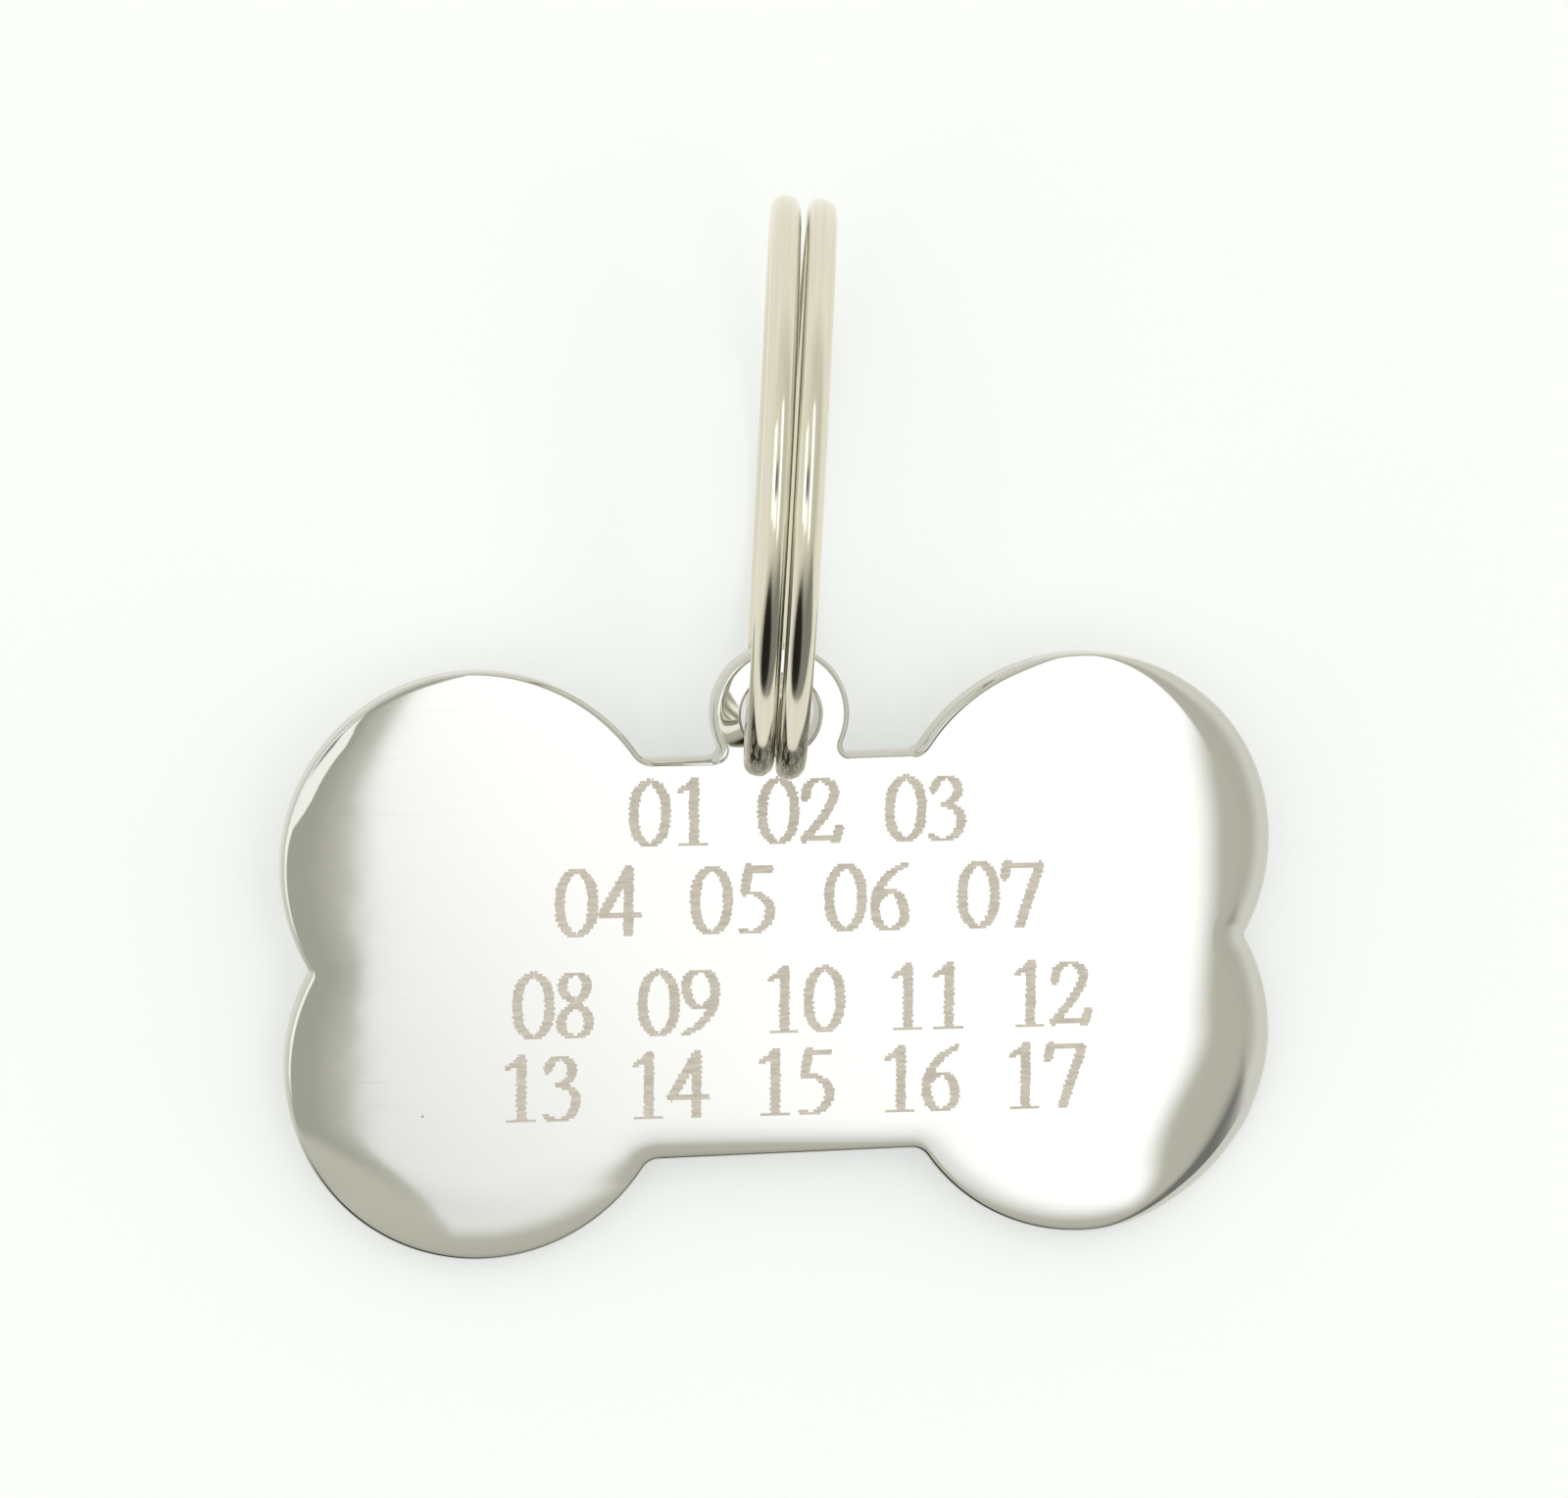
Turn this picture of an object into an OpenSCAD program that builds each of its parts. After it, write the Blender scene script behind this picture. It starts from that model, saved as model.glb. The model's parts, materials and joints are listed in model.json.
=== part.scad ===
// Bone-shaped pet id tag of polished steel with its split ring. The ring stands on edge
// in the hole of the tag's ear, and the tag leans on it with its two lower lobes on the table.

/* [Tag plate] */
// Thickness of the plate
plate_t = 1.5; // [1.2:0.1:2.4]
// Radius of each of the four lobes
lobe_r = 7.4; // [6:0.1:8.8]
// Distance between the left and right lobe centres
lobe_span = 23.2; // [20:0.1:28]
// Distance between the upper and lower lobe centres
lobe_rise = 7.6; // [6:0.1:10]
// Height of the bar between the lobes
shaft_h = 15.3; // [12.5:0.1:18.2]
// Radius of the soft corner where a lobe meets the bar
shaft_corner_r = 0.7; // [0.3:0.1:1.5]
// Radius at the bottom of the notch between two lobes
notch_r = 0.35; // [0.2:0.05:1]
// Radius of the rolled edge all round the plate
edge_r = 0.42; // [0.2:0.02:0.5]

/* [Ear] */
// Height of the ear's middle above the bar
ear_lift = 1.4; // [1:0.1:2]
// Wall between the ear's hole and its outline
ear_wall = 1.12; // [0.9:0.01:1.5]
// Radius of the corner between the ear and the bar
neck_r = 0.35; // [0.2:0.05:0.6]
// Free space in the hole on each side of the two wires
hole_clearance = 0.37; // [0.36:0.01:0.7]
// How far the punched hole lies to the right of the ear's middle
hole_side = -0.05; // [-0.1:0.01:0.1]
// Radius of the rounded rims of the hole
rim_r = 0.1; // [0.05:0.01:0.2]

/* [Split ring] */
// Outer diameter of the ring
ring_od = 21.4; // [18:0.1:26]
// Diameter of the spring wire
wire_d = 1.1; // [0.9:0.01:1.3]
// Gap between the two coils where they lie together
coil_gap = 0.07; // [0.02:0.01:0.15]
// How much wider the gap is at the ring's far end
coil_spread = 0.17; // [0.05:0.01:0.4]
// How far the right coil sits nearer to the tag than the left one
coil_shift = 0.06; // [0:0.01:0.15]
// How far the ring's middle passes to the right of the hole's middle
ring_side = -0.08; // [-0.1:0.01:0]
// Length of wire that crosses from one coil to the other
crossing_run = 2.6; // [2.5:0.1:4]
// Gap in front of each cut end of the wire
end_gap = 0.2; // [0.2:0.01:0.6]
// Place of the crossing, in degrees above the ring's far end
crossing_angle = -130; // [-131:1:-126]

/* [Pose] */
// How steeply the ring's middle rises as seen from the hole, in degrees
ring_rise = 39; // [34:1:44]
// Sideways lean of the ring, in degrees
ring_lean = 9; // [0:1:12]
// Turn of the ring out of the tag's middle line, in degrees
ring_yaw = 5.4; // [0:0.1:8]

/* [Hidden] */

// Steps of the curves, in degrees, and sides of the wire
lobe_step = 5;
ear_step = 10;
corner_step = 15;
edge_step = 30;
coil_step = 4;
wire_sides = 12;
bore_fn = 64;
// How far cuts run past what they cut
overrun = 0.5;

// Half sizes and radii worked out from the sizes above
half_t = plate_t / 2;
lobe_x = lobe_span / 2;
lobe_y = lobe_rise / 2;
shaft_y = shaft_h / 2;
wire_r = wire_d / 2;
coil_offset = (wire_d + coil_gap) / 2;
ring_r = ring_od / 2 - wire_r;
hole_r = 2 * wire_r + coil_gap / 2 + hole_clearance;
ear_r = hole_r + ear_wall;
ear_y = shaft_y + ear_lift;

// Middles of the notch, the corner at the bar and the neck of the ear
notch_x = lobe_x + sqrt(pow(lobe_r + notch_r, 2) - pow(lobe_y, 2));
corner_y = shaft_y + shaft_corner_r;
corner_x = lobe_x - sqrt(pow(lobe_r + shaft_corner_r, 2) - pow(corner_y - lobe_y, 2));
neck_y = shaft_y + neck_r;
neck_x = sqrt(pow(ear_r + neck_r, 2) - pow(ear_y - neck_y, 2));

// Directions in which neighbouring arcs touch
notch_dir = atan2(lobe_y, notch_x - lobe_x);
corner_dir = atan2(corner_y - lobe_y, corner_x - lobe_x);
neck_dir = atan2(ear_y - neck_y, neck_x);

// Points inside the plate from which its faces fan out
HUBS = [
    [0, 0],
    [lobe_x, 0],
    [lobe_x, lobe_y],
    [0, ear_y],
    [-lobe_x, lobe_y],
    [-lobe_x, 0],
    [-lobe_x, -lobe_y],
    [lobe_x, -lobe_y]
];
middle_hub = 0;
// Corners of the inner faces between the hubs
HUB_FACES = [[0, 1, 2], [0, 4, 5], [0, 5, 6], [0, 7, 1]];

// The outline as arcs, anticlockwise from the right notch: middle, radius, 1 bulging or -1 hollow,
// first and last direction, step, hub, and whether a straight edge follows
OUTLINE = [
    [[notch_x, 0], notch_r, -1, 180 + notch_dir, 180 - notch_dir, corner_step, 1, false],
    [[lobe_x, lobe_y], lobe_r, 1, -notch_dir, corner_dir, lobe_step, 2, false],
    [[corner_x, corner_y], shaft_corner_r, -1, corner_dir + 180, 270, corner_step, 2, true],
    [[neck_x, neck_y], neck_r, -1, 270, 180 - neck_dir, corner_step, 0, false],
    [[0, ear_y], ear_r, 1, -neck_dir, 180 + neck_dir, ear_step, 3, false],
    [[-neck_x, neck_y], neck_r, -1, neck_dir, -90, corner_step, 0, true],
    [[-corner_x, corner_y], shaft_corner_r, -1, 270, 360 - corner_dir, corner_step, 4, false],
    [[-lobe_x, lobe_y], lobe_r, 1, 180 - corner_dir, 180 + notch_dir, lobe_step, 4, false],
    [[-notch_x, 0], notch_r, -1, notch_dir, -notch_dir, corner_step, 5, false],
    [[-lobe_x, -lobe_y], lobe_r, 1, 180 - notch_dir, 180 + corner_dir, lobe_step, 6, false],
    [[-corner_x, -corner_y], shaft_corner_r, -1, corner_dir, 90, corner_step, 6, true],
    [[corner_x, -corner_y], shaft_corner_r, -1, 90, 180 - corner_dir, corner_step, 7, false],
    [[lobe_x, -lobe_y], lobe_r, 1, -corner_dir, notch_dir, lobe_step, 7, false]
];

function arc_count(arc) = ceil(abs(arc[4] - arc[3]) / arc[5]);

// Every outline point: its arc's middle, radius and bulge, its direction, and the hub of the edge
// that leaves it
STATIONS = [
    for (arc = OUTLINE)
        let (count = arc_count(arc), turn = arc[4] - arc[3])
            for (i = [0 : count - (arc[7] ? 0 : 1)])
                [arc[0], arc[1], arc[2], arc[3] + turn * i / count, i < count ? arc[6] : middle_hub]
];

// The rolled edge from the back face to the front: how far in from the outline, and how high
EDGE_ARC = [for (a = [0 : edge_step : 90]) [edge_r * (1 - sin(a)), half_t - edge_r * (1 - cos(a))]];
EDGE = concat(
    [for (p = EDGE_ARC) [p[0], -p[1]]],
    [for (i = [len(EDGE_ARC) - 1 : -1 : 0]) EDGE_ARC[i]]
);

function station_point(s, inset, z) =
    [s[0][0] + (s[1] - s[2] * inset) * cos(s[3]), s[0][1] + (s[1] - s[2] * inset) * sin(s[3]), z];

// How far the lower lobes reach, and half the thickness of the plate's flat rim
foot_reach = lobe_y + lobe_r - edge_r;
foot_t = half_t - edge_r;

// Height of the hole's middle that the standing ring gives, and the slope of the tag that brings it there
hole_z = ring_r * cos(ring_lean) * (1 - sin(ring_rise)) + coil_offset * sin(ring_lean) + wire_r;
foot_arm = norm([ear_y + foot_reach, foot_t]);
tag_slope = asin((hole_z - edge_r) / foot_arm) - atan2(foot_t, ear_y + foot_reach);
tag_z = foot_reach * sin(tag_slope) + foot_t * cos(tag_slope) + edge_r;

// The ring's reach away from the tag, and the shift that centres tag and ring over the origin
ring_turn = sin(ring_yaw) * cos(ring_lean);
ring_far = ring_r * sqrt(1 - pow(ring_turn, 2)) + (coil_offset + coil_spread / 2) * ring_turn + wire_r;
ring_mid_y = ring_r * (cos(ring_rise) * cos(ring_yaw) + sin(ring_rise) * sin(ring_lean) * sin(ring_yaw));
tag_near = foot_reach * cos(tag_slope) + foot_t * sin(tag_slope) + edge_r;
tag_y = (tag_near - ear_y * cos(tag_slope) - ring_mid_y - ring_far) / 2;
hole_at = [hole_side + ring_side, tag_y + ear_y * cos(tag_slope), hole_z];

// The coil: half the crossing as an angle, the angle of an end gap, and the last angle of the wire
crossing_half = crossing_run / 2 / ring_r * 180 / PI;
wire_last = 360 - crossing_half - end_gap / ring_r * 180 / PI;
coil_count = ceil(2 * wire_last / coil_step);

function smooth(u) = u * u * (3 - 2 * u);
function spread(t) = coil_spread / 2 * pow(max(cos(crossing_angle + t), 0), 2);
function side(t) =
    abs(t) < crossing_half ? 2 * smooth((t + crossing_half) / (2 * crossing_half)) - 1 : sign(t);
function wire_point(t) = [
    ring_r * cos(crossing_angle + t) - side(t) * coil_shift / 2,
    ring_r * sin(crossing_angle + t),
    side(t) * (coil_offset + spread(t))
];

// One ring of points round the wire, square to its run
function wire_section(t) =
    let (
        ahead = wire_point(t + coil_step / 4) - wire_point(t - coil_step / 4),
        run = ahead / norm(ahead),
        out = [cos(crossing_angle + t), sin(crossing_angle + t), 0],
        flat_out = out - (out * run) * run,
        across = flat_out / norm(flat_out),
        along = cross(run, across)
    )
    [for (k = [0 : wire_sides - 1])
        wire_point(t) + wire_r * (cos(360 * k / wire_sides) * across + sin(360 * k / wire_sides) * along)];

// The stamped bone with its rolled edge, without the hole
module bone_blank() {
    count = len(STATIONS);
    rings = len(EDGE);
    hubs_back = count * rings;
    hubs_front = hubs_back + len(HUBS);
    points = concat(
        [for (e = EDGE) for (s = STATIONS) station_point(s, e[0], e[1])],
        [for (h = HUBS) [h[0], h[1], -half_t]],
        [for (h = HUBS) [h[0], h[1], half_t]]
    );
    walls = [
        for (k = [0 : rings - 2]) for (i = [0 : count - 1])
            let (j = (i + 1) % count, low = k * count, high = (k + 1) * count)
                each [[low + i, high + i, high + j], [low + i, high + j, low + j]]
    ];
    fans = [for (i = [0 : count - 1]) [STATIONS[i][4], i, (i + 1) % count]];
    turns = [
        for (i = [0 : count - 1])
            let (before = STATIONS[(i + count - 1) % count][4], after = STATIONS[i][4])
                if (before != after) [before, i, after]
    ];
    front = (rings - 1) * count;
    back_faces = concat(
        [for (f = fans) [hubs_back + f[0], f[1], f[2]]],
        [for (f = turns) [hubs_back + f[0], f[1], hubs_back + f[2]]],
        [for (f = HUB_FACES) [hubs_back + f[0], hubs_back + f[1], hubs_back + f[2]]]
    );
    front_faces = concat(
        [for (f = fans) [hubs_front + f[0], front + f[2], front + f[1]]],
        [for (f = turns) [hubs_front + f[0], hubs_front + f[2], front + f[1]]],
        [for (f = HUB_FACES) [hubs_front + f[0], hubs_front + f[2], hubs_front + f[1]]]
    );
    polyhedron(points = points, faces = concat(walls, back_faces, front_faces));
}

// The punched hole with its rounded rims
module hole_cut() {
    rim = [for (a = [0 : edge_step : 90]) [hole_r + rim_r * (1 - sin(a)), half_t - rim_r * (1 - cos(a))]];
    top = half_t + overrun;
    profile = concat(
        [[0, top], [hole_r + rim_r, top]],
        rim,
        [for (i = [len(rim) - 1 : -1 : 0]) [rim[i][0], -rim[i][1]]],
        [[hole_r + rim_r, -top], [0, -top]]
    );
    rotate_extrude($fn = bore_fn) polygon(profile);
}

// The flat tag with its ear, leaning on the ring
module tag_plate() {
    color("gainsboro")
        translate([0, tag_y, tag_z])
            rotate([tag_slope, 0, 0])
                difference() {
                    bone_blank();
                    translate([hole_side, ear_y, 0]) hole_cut();
                }
}

// The wire of the ring: one length in two turns, with a short crossing between them
module coil() {
    sections = [for (i = [0 : coil_count]) wire_section(-wire_last + 2 * wire_last * i / coil_count)];
    last = coil_count * wire_sides;
    walls = [
        for (i = [0 : coil_count - 1]) for (k = [0 : wire_sides - 1])
            let (n = (k + 1) % wire_sides, low = i * wire_sides, high = (i + 1) * wire_sides)
                each [[low + k, high + k, high + n], [low + k, high + n, low + n]]
    ];
    ends = [
        [for (k = [0 : wire_sides - 1]) k],
        [for (k = [wire_sides - 1 : -1 : 0]) last + k]
    ];
    polyhedron(points = [for (s = sections) each s], faces = concat(walls, ends));
}

// The split ring, standing on edge through the hole
module split_ring() {
    color("silver")
        translate(hole_at)
            rotate([0, 0, -ring_yaw])
                rotate([0, -ring_lean, 0])
                    rotate([90, 0, 90])
                        translate([ring_r * cos(ring_rise), ring_r * sin(ring_rise), 0])
                            coil();
}

tag_plate();
split_ring();
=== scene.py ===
import json
import math
import random

import bpy
import numpy as np
from mathutils import Matrix, Vector
from mathutils.geometry import delaunay_2d_cdt


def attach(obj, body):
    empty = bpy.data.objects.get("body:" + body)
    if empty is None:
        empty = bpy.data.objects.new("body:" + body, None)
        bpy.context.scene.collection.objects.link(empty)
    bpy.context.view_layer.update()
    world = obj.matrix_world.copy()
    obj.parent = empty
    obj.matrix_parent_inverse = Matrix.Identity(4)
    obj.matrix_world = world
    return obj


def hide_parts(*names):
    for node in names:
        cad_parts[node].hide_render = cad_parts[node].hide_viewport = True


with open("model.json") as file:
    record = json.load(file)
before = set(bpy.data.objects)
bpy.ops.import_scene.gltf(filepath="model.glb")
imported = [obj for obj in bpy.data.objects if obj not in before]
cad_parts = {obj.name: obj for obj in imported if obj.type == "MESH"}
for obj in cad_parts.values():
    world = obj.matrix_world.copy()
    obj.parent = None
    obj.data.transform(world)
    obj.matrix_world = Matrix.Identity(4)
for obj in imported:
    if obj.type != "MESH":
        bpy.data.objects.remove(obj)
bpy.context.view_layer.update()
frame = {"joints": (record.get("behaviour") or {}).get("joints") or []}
mm = 0.001

# Where the ring hangs in the tag's hole, and the line it swings about
swing = frame["joints"][0]
holeAt = Vector(swing["pos_m"])
ringAxis = Vector(swing["axis"]).normalized()


def newMaterial(name):
    material = bpy.data.materials.new(name)
    material.use_nodes = True
    return material, material.node_tree, material.node_tree.nodes["Principled BSDF"]


def put(tree, kind, **values):
    # Adds a node and sets its plain properties
    node = tree.nodes.new(kind)
    for key, value in values.items():
        setattr(node, key, value)
    return node


def calc(tree, operation, *values):
    # A math node whose inputs are numbers or sockets
    node = put(tree, "ShaderNodeMath", operation=operation)
    for socket, value in zip(node.inputs, values):
        if isinstance(value, (int, float)):
            socket.default_value = value
        else:
            tree.links.new(value, socket)
    return node.outputs[0]


def product(tree, first, *others):
    for other in others:
        first = calc(tree, "MULTIPLY", first, other)
    return first


def weighted(tree, first, firstShare, second, secondShare):
    # The sum of two values, each by its own share
    return calc(tree, "ADD", product(tree, first, firstShare), product(tree, second, secondShare))


def rampUp(tree, value, low, high):
    # 0 below low, 1 above high, smooth between them
    node = put(tree, "ShaderNodeMapRange", interpolation_type="SMOOTHSTEP")
    tree.links.new(value, node.inputs["Value"])
    node.inputs["From Min"].default_value = low
    node.inputs["From Max"].default_value = high
    return node.outputs["Result"]


def rampDown(tree, value, low, high):
    return calc(tree, "SUBTRACT", 1.0, rampUp(tree, value, low, high))


def within(tree, value, low, high, soft):
    # 1 between low and high, fading over soft on each side
    rise = rampUp(tree, value, low - soft, low + soft)
    return product(tree, rise, rampDown(tree, value, high - soft, high + soft))


def mixColor(tree, factor, first, second):
    node = put(tree, "ShaderNodeMix", data_type="RGBA")
    tree.links.new(factor, node.inputs["Factor"])
    for socket, value in ((node.inputs[6], first), (node.inputs[7], second)):
        if isinstance(value, tuple):
            socket.default_value = (*value, 1.0)
        else:
            tree.links.new(value, socket)
    return node.outputs[2]


# The light tent, by direction from the tag. On the walls a span is how far right (x) or up (z) it lies,
# and in front how far right over the depth (-y). Overhead it is a place on a level plane one unit up:
# left, right, near, far and softness.
tent = {
    "wallLeft": (0.92, 0.92, 0.80),
    "wallRight": (0.72, 0.70, 0.60),
    "wallSpan": (-0.75, 0.75),
    "horizon": (1.02, 1.0, 0.91),
    "horizonRise": (0.2, 0.75),
    "wallFront": (0.47, 0.46, 0.40),
    "wallFrontDepth": (0.42, 0.75),
    "wallFrontSpan": (-1.2, 1.8, 0.5),
    "frontDepth": (0.1, 0.3),
    "leastDepth": 0.02,
    "corner": (0.27, 0.27, 0.245),
    "cornerSpan": (0.1, 1.5, 0.25),
    "cornerRise": (-0.6, 0.66, 0.14),
    "door": (0.018, 0.017, 0.014),
    "doorMiddle": (-0.28, 0.31),
    "doorSize": (0.48, 0.45),
    "doorEdge": (0.74, 1.18),
    "leastHeight": 0.03,
    "overhead": (0.05, 0.15),
    "ceilingDark": (0.575, 0.58, 0.485),
    "ceilingPale": (0.75, 0.75, 0.64),
    "ceilingTurn": (0.093, 0.112),
    "ceilingSpan": (-0.04, 0.4, -0.445, 0.15, 0.03),
    "ceilingEnd": (0.28, 0.34),
    "lens": (0.13, 0.12, 0.11),
    "lensMiddle": (-0.165, -0.04, 0.0),
    "lensEdge": (0.10, 0.14),
    "nearPanel": (1.45, 1.45, 1.36),
    "nearPanelSpan": (-0.30, 0.02, -0.40, -0.17, 0.015),
    "panelStrength": 1.79,
    "panelColor": (1.0, 1.0, 0.985),
    "leftPanelSpan": (-0.62, -0.29, -0.31, 0.4, 0.02),
    "rightPanelLeft": (0.1105, 0.1155),
    "rightPanelRight": (0.298, 0.392),
    "rightPanelNear": (-0.565, -0.435),
    "rightPanelFar": (0.48, 0.52),
    "dimmerShare": 0.62,
    "dimmerDirection": (-2.05, -1.73),
    "dimmerRise": (0.20, 0.62),
    "backdrop": (0.955, 0.98, 0.95),
}


def tentWalls(tree, x, y, z):
    # Pale walls and a bright horizon; in front a grey wall, its dim corner and the open door
    color = mixColor(tree, rampUp(tree, x, *tent["wallSpan"]), tent["wallLeft"], tent["wallRight"])
    color = mixColor(tree, rampDown(tree, z, *tent["horizonRise"]), color, tent["horizon"])
    depth = calc(tree, "MAXIMUM", calc(tree, "MULTIPLY", y, -1.0), tent["leastDepth"])
    sideways = calc(tree, "DIVIDE", x, depth)
    wallDepth = rampUp(tree, depth, *tent["wallFrontDepth"])
    wall = product(tree, wallDepth, within(tree, sideways, *tent["wallFrontSpan"]))
    color = mixColor(tree, wall, color, tent["wallFront"])
    isFront = rampUp(tree, depth, *tent["frontDepth"])
    cornerRise = within(tree, z, *tent["cornerRise"])
    corner = product(tree, within(tree, sideways, *tent["cornerSpan"]), cornerRise, isFront)
    color = mixColor(tree, corner, color, tent["corner"])
    squares = []
    for place, middle, size in zip((sideways, z), tent["doorMiddle"], tent["doorSize"]):
        offset = calc(tree, "DIVIDE", calc(tree, "SUBTRACT", place, middle), size)
        squares.append(calc(tree, "POWER", offset, 2.0))
    doorFar = calc(tree, "SQRT", calc(tree, "ADD", *squares))
    door = product(tree, rampDown(tree, doorFar, *tent["doorEdge"]), isFront)
    return mixColor(tree, door, color, tent["door"])


def tentCeiling(tree, color, x, y, z):
    # Over the tag: the dim ceiling, the camera's lens, and the lit panels to the left, near and right
    height = calc(tree, "MAXIMUM", z, tent["leastHeight"])
    across = calc(tree, "DIVIDE", x, height)
    along = calc(tree, "DIVIDE", y, height)
    above = rampUp(tree, z, *tent["overhead"])

    def panelMask(left, right, near, far, soft):
        sides = within(tree, across, left, right, soft)
        return product(tree, sides, within(tree, along, near, far, soft), above)

    ceiling = product(tree, panelMask(*tent["ceilingSpan"]), rampDown(tree, across, *tent["ceilingEnd"]))
    turn = rampUp(tree, across, *tent["ceilingTurn"])
    color = mixColor(tree, ceiling, color, mixColor(tree, turn, tent["ceilingDark"], tent["ceilingPale"]))

    place = put(tree, "ShaderNodeCombineXYZ")
    tree.links.new(across, place.inputs[0])
    tree.links.new(along, place.inputs[1])
    lensFar = put(tree, "ShaderNodeVectorMath", operation="DISTANCE")
    tree.links.new(place.outputs[0], lensFar.inputs[0])
    lensFar.inputs[1].default_value = tent["lensMiddle"]
    lens = product(tree, rampDown(tree, lensFar.outputs["Value"], *tent["lensEdge"]), above)
    color = mixColor(tree, lens, color, tent["lens"])

    color = mixColor(tree, panelMask(*tent["nearPanelSpan"]), color, tent["nearPanel"])
    rightPanel = product(
        tree,
        rampUp(tree, across, *tent["rightPanelLeft"]),
        rampDown(tree, across, *tent["rightPanelRight"]),
        rampUp(tree, along, *tent["rightPanelNear"]),
        rampDown(tree, along, *tent["rightPanelFar"]),
        above,
    )
    bright = tuple(tent["panelStrength"] * value for value in tent["panelColor"])
    dimmer = tuple(tent["dimmerShare"] * value for value in bright)
    lit = calc(tree, "MAXIMUM", rightPanel, panelMask(*tent["leftPanelSpan"]))
    color = mixColor(tree, lit, color, bright)
    towardsAcross, towardsAlong = tent["dimmerDirection"]
    slant = weighted(tree, across, towardsAcross, along, towardsAlong)
    nearLeft = product(tree, rampUp(tree, slant, *tent["dimmerRise"]), rightPanel)
    return mixColor(tree, nearLeft, color, dimmer)


def makeTent():
    world = bpy.data.worlds.new("lightTent")
    bpy.context.scene.world = world
    world.use_nodes = True
    tree = world.node_tree
    tree.nodes.clear()
    coordinate = put(tree, "ShaderNodeTexCoord")
    split = put(tree, "ShaderNodeSeparateXYZ")
    tree.links.new(coordinate.outputs["Generated"], split.inputs[0])
    x, y, z = split.outputs
    color = tentCeiling(tree, tentWalls(tree, x, y, z), x, y, z)
    path = put(tree, "ShaderNodeLightPath")
    color = mixColor(tree, path.outputs["Is Camera Ray"], color, tent["backdrop"])
    background = put(tree, "ShaderNodeBackground")
    output = put(tree, "ShaderNodeOutputWorld")
    tree.links.new(color, background.inputs["Color"])
    tree.links.new(background.outputs[0], output.inputs[0])


# The sheet under the tag, in millimetres. It glows a little, so that it stays white around the shade
paper = {
    "size": 1600,
    "front": 150,
    "color": (0.83, 0.85, 0.875, 1.0),
    "roughness": 0.9,
    "specular": 0.1,
    "glow": 2.58,
    "glowShare": 0.15,
    "glowSeen": (0.945, 0.985, 0.995),
    "glowMirrored": (1.02, 0.955, 0.84),
}


def whitePaper():
    material, tree, shader = newMaterial("whitePaper")
    shader.inputs["Base Color"].default_value = paper["color"]
    shader.inputs["Roughness"].default_value = paper["roughness"]
    shader.inputs["Specular IOR Level"].default_value = paper["specular"]
    path = put(tree, "ShaderNodeLightPath")
    isSeen, isMirrored = path.outputs["Is Camera Ray"], path.outputs["Is Glossy Ray"]
    glow = put(tree, "ShaderNodeEmission")
    tree.links.new(mixColor(tree, isSeen, paper["glowMirrored"], paper["glowSeen"]), glow.inputs["Color"])
    glow.inputs["Strength"].default_value = paper["glow"]
    share = product(tree, calc(tree, "MAXIMUM", isSeen, isMirrored), paper["glowShare"])
    mix = put(tree, "ShaderNodeMixShader")
    tree.links.new(share, mix.inputs[0])
    tree.links.new(shader.outputs[0], mix.inputs[1])
    tree.links.new(glow.outputs[0], mix.inputs[2])
    tree.links.new(mix.outputs[0], tree.nodes["Material Output"].inputs["Surface"])
    return material


def makeFloor():
    size, front = paper["size"] * mm, -paper["front"] * mm
    mesh = bpy.data.meshes.new("floor")
    corners = [(-size, front, 0), (size, front, 0), (size, size, 0), (-size, size, 0)]
    mesh.from_pydata(corners, [], [(0, 1, 2, 3)])
    floor = bpy.data.objects.new("floor", mesh)
    bpy.context.scene.collection.objects.link(floor)
    mesh.materials.append(whitePaper())


# Places in millimetres, in the part's frame
cameraView = {
    "eye": (-40.04, -10.17, 230.03),
    "lookAt": (0.93, -0.56, 0.0),
    "up": (0.0335, 0.9983, 0.0477),
    "lens": 139.34,
    "sensor": 36.0,
    "nearest": 10,
}


def makeCamera():
    eye = Vector(cameraView["eye"]) * mm
    look = (Vector(cameraView["lookAt"]) * mm - eye).normalized()
    right = look.cross(Vector(cameraView["up"])).normalized()
    up = right.cross(look)
    data = bpy.data.cameras.new("camera")
    data.lens = cameraView["lens"]
    data.sensor_width = cameraView["sensor"]
    data.clip_start = cameraView["nearest"] * mm
    camera = bpy.data.objects.new("camera", data)
    camera.matrix_world = Matrix((
        (right.x, up.x, -look.x, eye.x),
        (right.y, up.y, -look.y, eye.y),
        (right.z, up.z, -look.z, eye.z),
        (0, 0, 0, 1),
    ))
    bpy.context.scene.collection.objects.link(camera)
    bpy.context.scene.camera = camera


# Sizes in millimetres, as the tag was stamped
plate = {
    "thickness": 1.5,
    "lobeRadius": 7.4,
    "lobeSpan": 23.2,
    "lobeRise": 7.6,
    "barHeight": 15.3,
    "cornerRadius": 0.7,
    "notchRadius": 0.35,
    "footEdge": 0.42,
    "earLift": 1.6,
    "earRadius": 2.625,
    "neckRadius": 0.35,
    "holeRadius": 1.505,
    "holeSide": -0.05,
    "rimRadius": 0.1,
}

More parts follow.
